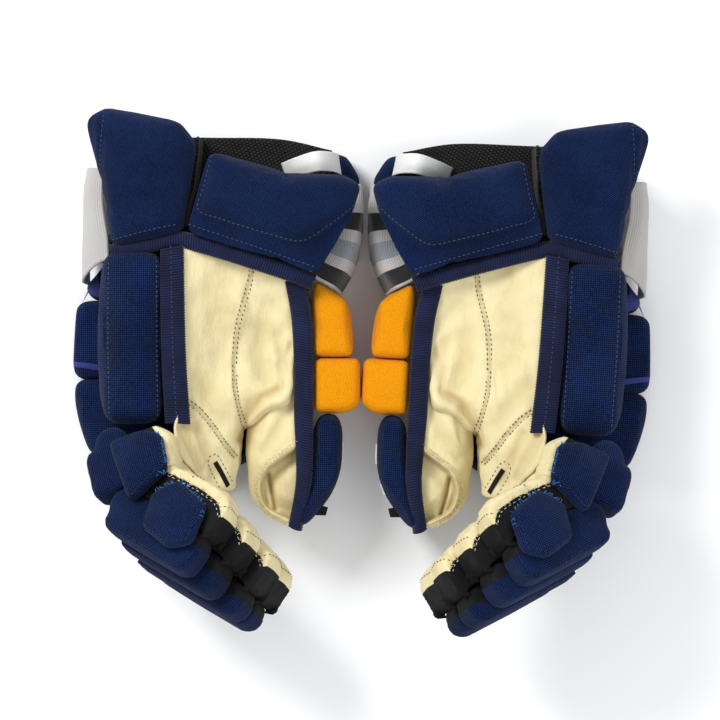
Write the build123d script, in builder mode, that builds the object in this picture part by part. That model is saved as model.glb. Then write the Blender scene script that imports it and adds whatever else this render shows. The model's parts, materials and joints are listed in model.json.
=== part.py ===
from build123d import *
import math
import os

# A pair of ice hockey gloves lying on their backs, palms up, cuffs towards +Y, thumbs towards the middle.
# One glove is made for the left hand; the right hand is its mirror image.
# Glove frame: X runs across the hand (0 is the line where the pair meets), Y towards the cuff, Z up.

# ---- driving sizes (mm) ----
palm_width = 74            # across the leather palm
roll_thickness = 24        # foam rolls over the back of the hand
cavity_height = 34         # room inside the hand
cuff_pad_thickness = 19
side_roll_width = 36       # pinky-side roll of the hand
finger_pitch = 21.5        # one finger lane to the next
finger_depth = 26          # finger room from its back pad to its palm side
finger_roll_thickness = 22
pinky_pad_thickness = 11
leather = 1.6              # leather and stretch fabric thickness
lane_gap = 0.8             # between neighbouring finger lanes
seat_gap = 0.3             # between soft pieces that lie on each other
yaw_left = 0               # degrees that each glove is turned on the floor
yaw_right = -3
pair_gap = 1               # the right glove stands this much further out

# finger lengths: knuckle to middle joint, middle joint to the tip
finger_names = ["pinky", "ring", "middle", "index"]
base_lengths = {"pinky": 45, "ring": 49, "middle": 52, "index": 50}
tip_lengths = {"pinky": 66, "ring": 71, "middle": 77, "index": 75}
knuckle_steps = {"pinky": 0, "ring": 3, "middle": 6, "index": 8}
back_extras = {"pinky": 8, "ring": 5, "middle": 2, "index": 0}   # more foam on the back
base_curl = 25             # degrees that the base leans from straight
tip_curl = 63

os.makedirs("parts", exist_ok=True)

# ---- finger row: lanes stacked along the row axis, all hinges parallel to it ----
row_axis = Vector(-0.40, 0.40, 0.82).normalized()
straight = (Vector(0, -1, 0) - row_axis * Vector(0, -1, 0).dot(row_axis)).normalized()
palm_side = row_axis.cross(straight)
pinky_knuckle = Vector(-152, -49, 70)

# ---- levels ----
lining_bottom = roll_thickness + seat_gap
cavity_floor = lining_bottom + leather
palm_low = cavity_floor + 24          # palm height at the thumb side
palm_high = cavity_floor + cavity_height + 8


def finger_direction(angle):
    """Unit vector along a finger that is bent by this angle from straight."""
    turn = math.radians(angle)
    return straight * math.cos(turn) + palm_side * math.sin(turn)


def knuckle_of(finger):
    """Centre of the knuckle hinge of a finger."""
    lane = finger_names.index(finger)
    return pinky_knuckle - row_axis * (lane * finger_pitch) + straight * knuckle_steps[finger]


def middle_joint_of(finger):
    """Centre of the middle hinge of a finger."""
    return knuckle_of(finger) + finger_direction(base_curl) * base_lengths[finger]


def segment_plane(origin, angle):
    """Side plane of a finger segment: X along the finger, Y towards its palm side."""
    return Plane(origin=origin, x_dir=finger_direction(angle), z_dir=row_axis)


def rounded_slab(plane, outline, thickness, corner, edge):
    """A flat pad: an outline with rounded corners, raised from the plane, with soft rims."""
    with BuildPart() as slab:
        with BuildSketch(plane) as face:
            with BuildLine():
                Polyline(*outline, close=True)
            make_face()
            fillet(face.vertices(), radius=corner)
        extrude(amount=thickness)
        fillet(slab.faces().filter_by(plane).edges(), radius=edge)
    return slab.part


def rounded_slabs(plane, outlines, thickness, corner, edge):
    """Several such pads side by side in one piece of work."""
    return Compound([rounded_slab(plane, outline, thickness, corner, edge) for outline in outlines])


def plate(plane, outline, thickness):
    """A flat panel of fabric or leather with square edges."""
    with BuildPart() as panel:
        with BuildSketch(plane):
            with BuildLine():
                Polyline(*outline, close=True)
            make_face()
        extrude(amount=thickness)
    return panel.part


def finger_roll(origin, angle, end, extra, lead, corner, rim):
    """Foam roll on the back of a finger segment. It starts in a half round about its hinge.

    Its back has extra foam, which starts by the lead before the hinge.
    """
    side = segment_plane(origin, angle)
    radius = finger_roll_thickness / 2
    with BuildPart() as roll:
        with BuildSketch(side) as profile:
            Circle(radius)
            with Locations((end / 2, 0)):
                Rectangle(end, finger_roll_thickness)
            if extra:
                with Locations(((end - lead) / 2, -(radius + extra) / 2)):
                    Rectangle(end + lead, radius + extra)
                back_start = profile.vertices().group_by(Axis.Y)[0].sort_by(Axis.X)[:1]
                fillet(back_start, radius=extra - foam_edge)
            fillet(profile.vertices().sort_by(Axis.X)[-2:], radius=corner)
        extrude(amount=(finger_pitch - lane_gap) / 2, both=True)
        fillet(roll.faces().filter_by(side).edges(), radius=rim)
    return roll.part


def finger_sleeve(origin, angle, back, palm, closed):
    """Fabric sleeve of a finger segment on its roll: two side panels, the palm strip and an end cap.

    back and palm are the sleeve's (start, end) along the finger at its back and at its palm side.
    """
    side = segment_plane(origin, angle)
    half_width = (finger_pitch - lane_gap) / 2
    low = finger_roll_thickness / 2 + seat_gap
    high = low + finger_depth
    outline = [(back[0], low), (back[1], low), (palm[1], high), (palm[0], high)]
    panels = [plate(side.offset(half_width - leather), outline, leather)]
    panels.append(plate(side.offset(-half_width), outline, leather))
    strip = [(palm[0], high), (palm[1], high), (palm[1], high + leather), (palm[0], high + leather)]
    panels.append(plate(side.offset(-half_width), strip, 2 * half_width))
    if closed:
        cap_end = back[1] + leather
        cap = [(back[1], low), (cap_end, low), (cap_end, high + leather), (back[1], high + leather)]
        panels.append(plate(side.offset(-half_width), cap, 2 * half_width))
    return Compound(panels)


def pinky_pad(origin, angle, outline):
    """Side pad on the outer side of the pinky, over its sleeve and roll."""
    outside = segment_plane(origin, angle).offset((finger_pitch - lane_gap) / 2 + seat_gap)
    return rounded_slab(outside, outline, pinky_pad_thickness, 5, 4)


pieces = {}

# ---- fingers ----
roll_end_gap = 0.7         # between a base roll's end and the round start of the tip roll
foam_edge = 1              # extra foam less the round of its start
tip_lead = 7               # the tip's extra foam starts this much before the middle joint
flex_cut = 9               # the sleeve starts this much later at its palm side, so that it can curl
middle_start = 6.4         # the sleeves keep this far from the middle joint at their back
middle_cut = 13.4          # and this much further at their palm side
sleeve_start = 3           # the base sleeve starts this far from the knuckle
for finger in finger_names:
    knuckle = knuckle_of(finger)
    middle = middle_joint_of(finger)
    base_end = base_lengths[finger] - finger_roll_thickness / 2 - roll_end_gap
    tip_end = tip_lengths[finger] - leather
    base_back = (sleeve_start, base_lengths[finger] - middle_start)
    base_palm = (base_back[0] + flex_cut, base_back[1] - middle_cut)
    tip_back = (middle_start, tip_end)
    tip_palm = (tip_back[0] + middle_cut, tip_end)
    extra = back_extras[finger]
    pieces[f"{finger}_base_roll"] = finger_roll(knuckle, base_curl, base_end, extra, 0, 5, 4.5)
    pieces[f"{finger}_tip_roll"] = finger_roll(middle, tip_curl, tip_end, extra, tip_lead, 9, 4.5)
    pieces[f"{finger}_base_sleeve"] = finger_sleeve(knuckle, base_curl, base_back, base_palm, False)
    pieces[f"{finger}_tip_sleeve"] = finger_sleeve(middle, tip_curl, tip_back, tip_palm, True)

# outlines on the pinky's side: along the segment, then towards its palm side
base_pad = [(5, 2), (7, 26), (15, 37), (39, 35), (52, 6)]
tip_pad = [(19, 13), (30, 29), (56, 24), (63, -1), (50, -11), (27, -8)]
pieces["pinky_side_pad"] = pinky_pad(knuckle_of("pinky"), base_curl, base_pad)
pieces["pinky_tip_pad"] = pinky_pad(middle_joint_of("pinky"), tip_curl, tip_pad)

# ---- back of the hand, lying on the floor ----
floor = Plane.XY
wrist_roll = [(-174, 43), (-159, 66), (-50, 66), (-48, 43)]
hand_roll = [(-176, -6), (-174, 41), (-46, 41), (-44, -6)]
knuckle_roll = [(-167, -54), (-177, -8), (-46, -8), (-58, -52), (-100, -71), (-126, -71)]
pieces["back_rolls"] = rounded_slabs(floor, [wrist_roll, hand_roll, knuckle_roll], roll_thickness, 7, 7)

# ---- pinky side of the hand ----
side_roll_left = -159
side_roll_right = side_roll_left + side_roll_width
side_roll_outline = [
    (side_roll_left, -32), (side_roll_left, 68.3), (side_roll_right, 68.3), (side_roll_right, -32),
]
side_roll_top = 77
pieces["pinky_side_roll"] = rounded_slab(
    floor.offset(lining_bottom), side_roll_outline, side_roll_top - lining_bottom, 9, 9
)

# ---- lining: floor of the hand and the cuff, and the gusset between the cuff pads ----
lining_outline = [
    (-119, -52), (-70, -52), (-48, 0), (-48, 57), (-28, 64), (-23, 84), (-19, 128),
    (-45, 139), (-98, 141), (-150, 138), (-150, 84), (-119, 68),
]
gusset_outline = [(-98, 138), (-96.4, 138), (-107.4, 86), (-109, 86)]
pieces["liner"] = Compound(
    [
        plate(floor.offset(lining_bottom), lining_outline, leather),
        plate(floor.offset(cavity_floor), gusset_outline, 26),
    ]
)

# ---- palm ----
palm_left = -118
tilt = math.atan2(palm_high - palm_low, palm_width)
palm_plane = Plane(
    origin=(palm_left, 0, palm_high),
    x_dir=(math.cos(tilt), 0, -math.sin(tilt)),
    z_dir=(math.sin(tilt), 0, math.cos(tilt)),
)
palm_outline = [(0, 65), (40, 59), (palm_width, 46), (palm_width, -20), (56, -28), (48, -52), (4, -30)]
pieces["palm_leather"] = plate(palm_plane, palm_outline, leather)

# ---- wrist band of knit: a strip behind the wrist with a wing up each side ----
band_strip = [(-161.5, 67), (-1, 67), (1, 83), (-161.5, 83)]
band_left_wing = [(-173, 121), (-163, 121), (-162, 66.5), (-173, 66.5)]
band_right_wing = [(-16, 110), (1.5, 110), (1.5, 83), (-8.1, 42.7), (-29.6, 56.7), (-20, 76)]
pieces["wrist_band"] = Compound(
    [
        plate(floor.offset(1), band_strip, roll_thickness - 1),
        plate(floor.offset(1), band_left_wing, 54),
        plate(floor.offset(lining_bottom), band_right_wing, 25),
    ]
)

# ---- cuff ----
cuff_back_outline = [(-158, 84), (-152, 139), (-98, 141), (-45, 139), (-8, 133), (0, 118), (-2, 84)]
pieces["cuff_back_pad"] = rounded_slab(floor, cuff_back_outline, roll_thickness, 8, 8)
cuff_palm_outline = [
    (-94, 135), (-75, 130), (-44, 123), (-10, 120), (1, 114), (-5, 96), (-16, 76), (-27, 58), (-108.5, 84.6),
]
cuff_palm_bottom = 62
pieces["cuff_palm_pad"] = rounded_slab(
    floor.offset(cuff_palm_bottom), cuff_palm_outline, cuff_pad_thickness, 5, 8
)
cuff_pinky_outline = [(-171, 155), (-158, 162), (-112, 153), (-102, 140), (-110, 84.6), (-154, 75), (-162, 115)]
cuff_pinky_bottom = 56
pieces["cuff_pinky_pad"] = rounded_slab(
    floor.offset(cuff_pinky_bottom), cuff_pinky_outline, cuff_pad_thickness, 6, 8
)

# each cuff pad folds about the middle of its rounded lower edge


def cuff_hinge(start, end, bottom):
    """Both ends of a fold line that lies half a pad thickness inside the edge from start to end."""
    inset = cuff_pad_thickness / 2
    edge = (Vector(*end) - Vector(*start)).normalized()
    inward = Vector(-edge.Y, edge.X)
    level = Vector(0, 0, bottom + inset)
    return Vector(*start) + inward * inset + level, Vector(*end) + inward * inset + level


cuff_hinges = {
    "palm": cuff_hinge((-108.5, 84.6), (-27, 58), cuff_palm_bottom),
    "pinky": cuff_hinge((-154, 75), (-110, 84.6), cuff_pinky_bottom),
}

# ---- ribbed bindings: cuff edge, pinky edge and thumb edge ----
binding_thickness = 2.5
cuff_binding = [
    (-154, 74), (-110, 83.6), (-108, 83.6), (-27.5, 57.5), (-29.5, 52), (-108, 77.5), (-110, 77.5), (-153, 68.5),
]
pinky_binding = [(-122.5, 64), (-110, 64), (-110, -30), (-122.5, -30)]
thumb_binding = [(-48, 44), (-44, 52), (-34, 54), (-31, 24), (-31, -27), (-44, -27), (-48, -19)]
pieces["bindings"] = Compound(
    [
        plate(floor.offset(66), cuff_binding, binding_thickness),
        plate(floor.offset(palm_high + leather), pinky_binding, binding_thickness),
        plate(floor.offset(palm_low + leather + 1.4), thumb_binding, binding_thickness),
    ]
)

# ---- thumb ----
thumb_hinge = Vector(-20, -36, 34)
thumb_low = 10
thumb_high = 56
thumb_nose = 8             # radius of the tip pad's round start
yellow_wrist = [(-30, 56), (-8.5, 42), (-4.5, 7.3), (-29, 7.3)]
yellow_knuckle = [(-29, 6.5), (-0.4, 6.5), (-0.4, -22), (-8, -27.5), (-29, -27.5)]
pieces["thumb_base_pads"] = rounded_slabs(
    floor.offset(thumb_low), [yellow_wrist, yellow_knuckle], thumb_high - thumb_low, 3, 6
)
thumb_start = thumb_hinge.Y + thumb_nose
thumb_tip_outline = [
    (thumb_hinge.X - thumb_nose, thumb_start), (thumb_hinge.X + thumb_nose, thumb_start),
    (-14, -69), (-35, -98), (-41, -96), (-30, -70),
]
with BuildPart() as thumb_tip:
    with BuildSketch(floor.offset(thumb_low)) as thumb_face:
        with BuildLine():
            Polyline(*thumb_tip_outline, close=True)
        make_face()
        fillet(thumb_face.vertices().sort_by(Axis.Y)[-2:], radius=thumb_nose - 0.3)
        fillet(thumb_face.vertices().sort_by(Axis.Y)[:2], radius=2)
    extrude(amount=thumb_high - thumb_low)
    fillet(thumb_tip.faces().filter_by(floor).edges(), radius=3)
pieces["thumb_tip_pad"] = thumb_tip.part

sleeve_floor = cavity_floor + 0.7
sleeve_roof = palm_low
thumb_sleeve_outline = [(-65, -46), (-29.3, -35), (-30.8, -70), (-42, -94), (-57, -94), (-66, -72)]
thumb_left_wall = [(-65, -46), (-63.4, -46), (-64.4, -72), (-66, -72)]
thumb_low_wall = [(-66, -72.2), (-64.2, -72.2), (-55.2, -94), (-57, -94)]
thumb_end = [(-57, -94.2), (-43, -94.2), (-43, -95.8), (-57, -95.8)]
thumb_tape = [(-40, -33), (-30, -33), (-31.5, -70), (-43, -95.8), (-51, -95.8), (-42, -70)]
wall_height = sleeve_roof - sleeve_floor - leather
pieces["thumb_sleeve"] = Compound(
    [
        plate(floor.offset(sleeve_floor), thumb_sleeve_outline, leather),
        plate(floor.offset(sleeve_roof), thumb_sleeve_outline, leather),
        plate(floor.offset(sleeve_floor + leather), thumb_left_wall, wall_height),
        plate(floor.offset(sleeve_floor + leather), thumb_low_wall, wall_height),
        plate(floor.offset(sleeve_floor), thumb_end, sleeve_roof - sleeve_floor + leather),
        plate(floor.offset(sleeve_roof + leather), thumb_tape, binding_thickness),
    ]
)

# ---- both gloves, moved so that the origin is under the middle of the pair ----
left_turn = Location((0, 0, 0), (0, 0, yaw_left))
right_turn = Location((pair_gap, 0, 0), (0, 0, yaw_right))
both = {}
for name, piece in pieces.items():
    both[f"left_{name}"] = piece.moved(left_turn)
    both[f"right_{name}"] = mirror(piece, about=Plane.YZ).moved(right_turn)

whole = Compound(list(both.values())).bounding_box()
to_origin = Location((-whole.center().X, -whole.center().Y, -whole.min.Z))
for name, piece in both.items():
    placed = piece.moved(to_origin)
    placed.label = name
    export_step(placed, f"parts/{name}.step")
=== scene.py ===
import json
import math

import bmesh
import bpy
from bpy.props import FloatProperty, FloatVectorProperty, PointerProperty
from mathutils import Matrix, Vector, noise
from mathutils.bvhtree import BVHTree

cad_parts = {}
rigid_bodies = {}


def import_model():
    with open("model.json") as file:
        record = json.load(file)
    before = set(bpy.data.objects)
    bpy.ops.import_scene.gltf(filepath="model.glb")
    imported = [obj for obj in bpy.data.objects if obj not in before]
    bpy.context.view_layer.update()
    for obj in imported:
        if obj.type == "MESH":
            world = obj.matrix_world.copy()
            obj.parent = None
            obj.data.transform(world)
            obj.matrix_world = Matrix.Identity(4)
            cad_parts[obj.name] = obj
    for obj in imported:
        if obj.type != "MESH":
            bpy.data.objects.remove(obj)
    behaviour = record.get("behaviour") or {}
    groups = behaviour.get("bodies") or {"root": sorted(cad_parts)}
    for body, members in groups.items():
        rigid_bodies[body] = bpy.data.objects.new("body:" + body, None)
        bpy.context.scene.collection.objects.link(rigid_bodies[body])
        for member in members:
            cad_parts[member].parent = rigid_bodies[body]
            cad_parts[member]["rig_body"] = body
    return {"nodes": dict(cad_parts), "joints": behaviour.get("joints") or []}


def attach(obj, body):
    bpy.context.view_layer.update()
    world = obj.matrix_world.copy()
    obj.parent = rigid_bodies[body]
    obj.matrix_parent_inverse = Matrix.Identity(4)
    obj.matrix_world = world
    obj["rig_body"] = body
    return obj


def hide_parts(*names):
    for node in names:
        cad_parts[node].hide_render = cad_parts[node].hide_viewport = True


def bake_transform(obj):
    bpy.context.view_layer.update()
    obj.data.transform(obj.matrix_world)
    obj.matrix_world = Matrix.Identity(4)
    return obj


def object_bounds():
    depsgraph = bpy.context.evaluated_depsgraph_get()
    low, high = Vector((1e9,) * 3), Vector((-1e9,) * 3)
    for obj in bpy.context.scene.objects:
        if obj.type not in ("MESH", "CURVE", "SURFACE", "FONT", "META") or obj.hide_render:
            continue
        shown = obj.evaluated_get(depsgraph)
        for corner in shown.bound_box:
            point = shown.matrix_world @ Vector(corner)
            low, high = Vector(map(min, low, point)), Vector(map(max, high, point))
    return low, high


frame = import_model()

bl_info = {
    "name": "Hockey Glove Maker",
    "version": (1, 0, 0),
    "blender": (4, 5, 0),
    "location": "3D View > Sidebar > Gloves",
    "description": "Makes a pair of padded ice hockey gloves around their frame",
    "category": "Add Mesh",
}

CAD_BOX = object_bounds()
JOINTS = {joint["name"]: joint for joint in frame["joints"]}
FINGERS = ("pinky", "ring", "middle", "index")
MM = 0.001
# spacing of the threads in the fabrics that have no setting
KNIT_PITCH = 1.6 * MM
STRETCH_PITCH = 0.7 * MM
LINING_PITCH = 1.8 * MM
SATIN_PITCH = 0.6 * MM
# thickness of the leather, the knit and the lining, of the finger sleeves, of the tapes, of the cuff's gusset,
# of the label and the slot's strip, and of the patches on the back rolls
LEATHER = 1.4 * MM
SLEEVE = 1.2 * MM
TAPE = 1.1 * MM
GUSSET = 1.6 * MM
THIN = 0.4 * MM
PATCH = 0.5 * MM
# two points of a course further apart than this are not sewn together
SEWN_GAP = 10 * MM


# ---- settings a user may change ----
def colour_setting(name, description, default):
    """A colour setting with its shade as sRGB numbers from 0 to 1."""
    return FloatVectorProperty(
        name=name, description=description, default=default, subtype="COLOR", size=3, min=0, max=1)


def size_setting(name, description, default):
    """A length setting in metres."""
    return FloatProperty(
        name=name, description=description, default=default, unit="LENGTH", min=0, precision=5)


class GloveColours(bpy.types.PropertyGroup):
    """Colours of the gloves' fabrics and leathers."""

    navy: colour_setting("Navy", "Woven shell of the pads", (0.0009, 0.0030, 0.0150))
    navy_light: colour_setting("Navy light", "Raised threads of the navy shell", (0.0085, 0.0270, 0.1080))
    tape: colour_setting("Binding", "Ribbed binding tape", (0.0085, 0.0155, 0.0680))
    cream: colour_setting("Palm leather", "Cream palm leather", (0.740, 0.650, 0.380))
    # the darker palm leather colour: random darker patches, and the painted shade in the folds, seams and crotch
    cream_dark: colour_setting("Palm leather folds", "Palm leather where it is creased", (0.450, 0.330, 0.140))
    yellow: colour_setting("Yellow", "Woven shell of the thumb pads", (0.880, 0.380, 0.0010))
    black: colour_setting("Black stretch", "Stretch fabric at the finger tips", (0.0045, 0.0045, 0.0050))
    white: colour_setting("White knit", "Knit of the wrist band", (0.400, 0.388, 0.372))
    grey: colour_setting("Grey stripe", "Grey stripe of the wrist band", (0.215, 0.245, 0.265))
    fray: colour_setting("Loose thread", "Bright loose threads at cut edges", (0.020, 0.200, 0.550))


class GloveSizes(bpy.types.PropertyGroup):
    """Sizes of the gloves' weaves, seams and padding."""

    weave: size_setting("Weave", "Spacing of the navy weave", 0.0013)
    rib: size_setting("Rib", "Spacing of the binding's ribs", 0.0016)
    stitch: size_setting("Stitch", "Length of one stitch", 0.0019)
    stitch_gap: size_setting("Stitch gap", "Gap between two stitches", 0.0012)
    thread: size_setting("Thread", "Thickness of the sewing thread", 0.00055)
    voxel: size_setting("Cloth grid", "Face size of the padding's cloth", 0.0032)
    swell: size_setting("Swell", "Most that the filling may push a pad's cloth out", 0.0030)


def colour(name):
    """A colour setting as RGBA."""
    return (*getattr(bpy.context.scene.glove_colours, name), 1.0)


def rgba(red, green, blue):
    """A colour that no setting changes."""
    return (red, green, blue, 1.0)


def dimmed(shade, share):
    """A colour made darker."""
    return rgba(*[part * share for part in shade[:3]])


def size(name):
    """A size setting in metres."""
    return getattr(bpy.context.scene.glove_sizes, name)


# ---- places from the frame ----
def joint_point(name):
    """Rest position of a joint."""
    return Vector(JOINTS[name]["pos_m"])


def mirror_place():
    """Matrix that lays the left glove's shapes on the right glove."""
    flip = Matrix.Diagonal((-1, 1, 1, 1))
    thumb, pinky = (flip @ joint_point(f"left_{name}") for name in ("thumb_bend", "pinky_knuckle"))
    thumb_to, pinky_to = (joint_point(f"right_{name}") for name in ("thumb_bend", "pinky_knuckle"))
    before, after = (pinky - thumb).xy, (pinky_to - thumb_to).xy
    turn = Matrix.Rotation(math.atan2(after.y, after.x) - math.atan2(before.y, before.x), 4, "Z")
    return Matrix.Translation(thumb_to - turn @ thumb) @ turn @ flip


TO_RIGHT = mirror_place()
# the gloves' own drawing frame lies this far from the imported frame
DRAWN_ORIGIN = joint_point("left_pinky_knuckle") - Vector((-0.152, -0.049, 0.070))


def at(x, y, z):
    """A point of the left glove's drawing, in millimetres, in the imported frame."""
    return Vector((x, y, z)) * MM + DRAWN_ORIGIN


def segment_axes(finger, part):
    """Along, row and palm-side unit vectors of a finger segment of the left glove."""
    knuckle = joint_point(f"left_{finger}_knuckle")
    middle = joint_point(f"left_{finger}_middle")
    row = Vector(JOINTS[f"left_{finger}_knuckle"]["axis"]).normalized()
    along = (middle - knuckle).normalized()
    if part == "tip":
        along = Matrix.Rotation(math.radians(38), 3, row) @ along
    return along, row, row.cross(along)


# ---- nodes of the materials ----
def feed(tree, socket, value):
    """Gives a socket a number, a colour or another node's output."""
    if isinstance(value, bpy.types.NodeSocket):
        tree.links.new(value, socket)
    else:
        socket.default_value = value


def maths(tree, operation, *values):
    """A Math node's output."""
    made = tree.nodes.new("ShaderNodeMath")
    made.operation = operation
    for socket, value in zip(made.inputs, values):
        feed(tree, socket, value)
    return made.outputs[0]


def humps(tree, value, each=1):
    """A row of round humps, so many to each whole number of a value."""
    return maths(tree, "ABSOLUTE", maths(tree, "SINE", maths(tree, "MULTIPLY", value, each * math.pi)))


def blended(tree, factor, first, second, how="MIX"):
    """Two colours mixed."""
    made = tree.nodes.new("ShaderNodeMix")
    made.data_type = "RGBA"
    made.blend_type = how
    feed(tree, made.inputs[0], factor)
    feed(tree, made.inputs[6], first)
    feed(tree, made.inputs[7], second)
    return made.outputs[2]


def spread(tree, value, low, high, out_low=0.0, out_high=1.0):
    """A value moved smoothly from one range to another."""
    made = tree.nodes.new("ShaderNodeMapRange")
    made.interpolation_type = "SMOOTHSTEP"
    feed(tree, made.inputs[0], value)
    for index, number in enumerate((low, high, out_low, out_high), 1):
        made.inputs[index].default_value = number
    return made.outputs[0]


def cloud(tree, scale, detail=3.0, rough=0.55, stretch=(1, 1, 1)):
    """Noise over the piece's own coordinates."""
    place = tree.nodes.new("ShaderNodeTexCoord")
    mapping = tree.nodes.new("ShaderNodeMapping")
    mapping.inputs["Scale"].default_value = stretch
    tree.links.new(place.outputs["Object"], mapping.inputs["Vector"])
    made = tree.nodes.new("ShaderNodeTexNoise")
    tree.links.new(mapping.outputs[0], made.inputs["Vector"])
    made.inputs["Scale"].default_value = scale
    made.inputs["Detail"].default_value = detail
    made.inputs["Roughness"].default_value = rough
    return made.outputs["Fac"]


def weave_place(tree, pitch, turn):
    """The fabric's own two coordinates, counted in threads."""
    uv = tree.nodes.new("ShaderNodeUVMap")
    uv.uv_map = "Weave"
    mapping = tree.nodes.new("ShaderNodeMapping")
    mapping.inputs["Rotation"].default_value = (0, 0, math.radians(turn))
    mapping.inputs["Scale"].default_value = (1 / pitch, 1 / pitch, 1)
    tree.links.new(uv.outputs[0], mapping.inputs["Vector"])
    split = tree.nodes.new("ShaderNodeSeparateXYZ")
    tree.links.new(mapping.outputs[0], split.inputs[0])
    return split.outputs[0], split.outputs[1]


def bumped(tree, heights, shader):
    """Adds bumps to a shader: pairs of a height output and its depth in metres."""
    normal = None
    for height, depth in heights:
        made = tree.nodes.new("ShaderNodeBump")
        made.inputs["Strength"].default_value = 1.0
        made.inputs["Distance"].default_value = depth
        tree.links.new(height, made.inputs["Height"])
        if normal is not None:
            tree.links.new(normal, made.inputs["Normal"])
        normal = made.outputs[0]
    tree.links.new(normal, shader.inputs["Normal"])


def new_finish(name, roughness, sheen=0.0, specular=0.12):
    """An empty material: its node tree and its shader."""
    made = bpy.data.materials.new(name)
    made.use_nodes = True
    shader = made.node_tree.nodes["Principled BSDF"]
    shader.inputs["Roughness"].default_value = roughness
    shader.inputs["Sheen Weight"].default_value = sheen
    shader.inputs["Sheen Roughness"].default_value = 0.5
    shader.inputs["Specular IOR Level"].default_value = specular
    return made, made.node_tree, shader


def woven(name, dark, light, pitch, turn=0.0, staggered=False, worn=0.30, sheen=0.04, depth=0.0003):
    """A coarse woven shell: raised threads over a darker ground, a little uneven and worn."""
    made, tree, shader = new_finish(name, 0.92, sheen, 0.08)
    along, across = weave_place(tree, pitch, turn)
    if staggered:
        row = maths(tree, "FLOOR", across)
        along = maths(tree, "ADD", along, maths(tree, "MULTIPLY", row, 0.5))
    cell = maths(tree, "MULTIPLY", humps(tree, along), humps(tree, across))
    fine = cloud(tree, 900, 2.0)
    broad = cloud(tree, 22, 4.0, 0.6)
    uneven = maths(tree, "MULTIPLY", cell, spread(tree, fine, 0.3, 0.7, 0.55, 1.15))
    patches = spread(tree, broad, 0.3, 0.75, 1.0 - worn, 1.0 + worn)
    amount = maths(tree, "MULTIPLY", uneven, patches)
    shade = blended(tree, spread(tree, amount, 0.05, 0.85), dark, light)
    feed(tree, shader.inputs["Base Color"], shade)
    bumped(tree, [(cell, depth), (fine, 0.0001)], shader)
    return made


def leather(name):
    """Cream palm leather with grain, soft creases and painted shade in its folds."""
    made, tree, shader = new_finish(name, 0.62, 0.1)
    grain = cloud(tree, 1500, 3.0)
    creases = cloud(tree, 95, 4.0, 0.6, (1, 0.35, 1))
    patches = cloud(tree, 28, 5.0, 0.6)
    fold_shade = tree.nodes.new("ShaderNodeAttribute")
    fold_shade.attribute_name = "Fold"
    base = blended(tree, spread(tree, patches, 0.40, 0.78, 0, 0.40), colour("cream"), colour("cream_dark"))
    lines = spread(tree, creases, 0.52, 0.62, 0.0, 0.16)
    base = blended(tree, lines, base, colour("cream_dark"))
    # painted shade along the fold lines, from the number each leather sheet carries at its points
    base = blended(tree, maths(tree, "MULTIPLY", fold_shade.outputs["Fac"], 0.8), base, colour("cream_dark"))
    feed(tree, shader.inputs["Base Color"], base)
    bumped(tree, [(creases, 0.0016), (grain, 0.00012)], shader)
    return made


def ribbed(name, shade, light):
    """Grosgrain tape with painted shade in the valleys between the ribs."""
    made, tree, shader = new_finish(name, 0.6, 0.1)
    along, across = weave_place(tree, size("rib"), 0)
    strands = humps(tree, across, 3)
    patches = cloud(tree, 60, 3.0)
    amount = maths(tree, "MULTIPLY", humps(tree, along), spread(tree, patches, 0.3, 0.7, 0.5, 1.0))
    # painted shade: the valleys between the ribs take the darker colour
    feed(tree, shader.inputs["Base Color"], blended(tree, amount, shade, light))
    bumped(tree, [(strands, 0.00008), (cloud(tree, 1200), 0.00006)], shader)
    return made


def knit(name, shade, dirt):
    """Stretch knit with fine ribs and soiled patches."""
    made, tree, shader = new_finish(name, 0.8, 0.25)
    along, across = weave_place(tree, KNIT_PITCH, 0)
    loops = maths(tree, "ADD", maths(tree, "MULTIPLY", humps(tree, along), 0.4), 0.6)
    height = maths(tree, "MULTIPLY", humps(tree, across), loops)
    soil = spread(tree, cloud(tree, 35, 5.0, 0.65), 0.42, 0.72, 0, 0.55)
    base = blended(tree, soil, shade, dirt)
    base = blended(tree, maths(tree, "MULTIPLY", height, 0.2), base, rgba(1, 1, 1), "SOFT_LIGHT")
    feed(tree, shader.inputs["Base Color"], base)
    bumped(tree, [(height, 0.0003)], shader)
    return made


def stretch(name, shade):
    """Smooth black stretch fabric."""
    made, tree, shader = new_finish(name, 0.75, 0.02, 0.15)
    along, across = weave_place(tree, STRETCH_PITCH, 45)
    cell = maths(tree, "MULTIPLY", maths(tree, "SINE", maths(tree, "MULTIPLY", along, math.pi)),
                 maths(tree, "SINE", maths(tree, "MULTIPLY", across, math.pi)))
    patches = cloud(tree, 40, 4.0)
    worn = rgba(*[part * 1.8 + 0.001 for part in shade[:3]])
    feed(tree, shader.inputs["Base Color"], blended(tree, spread(tree, patches, 0.35, 0.75), shade, worn))
    bumped(tree, [(cell, 0.00008), (patches, 0.0008)], shader)
    return made


def thread(name, shade):
    """Twisted sewing thread."""
    made, tree, shader = new_finish(name, 0.6, 0.2)
    feed(tree, shader.inputs["Base Color"], blended(tree, cloud(tree, 1800, 2.0), shade, dimmed(shade, 0.6)))
    bumped(tree, [(cloud(tree, 2500, 1.0), 0.0001)], shader)
    return made


FINISHES = {}


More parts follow.
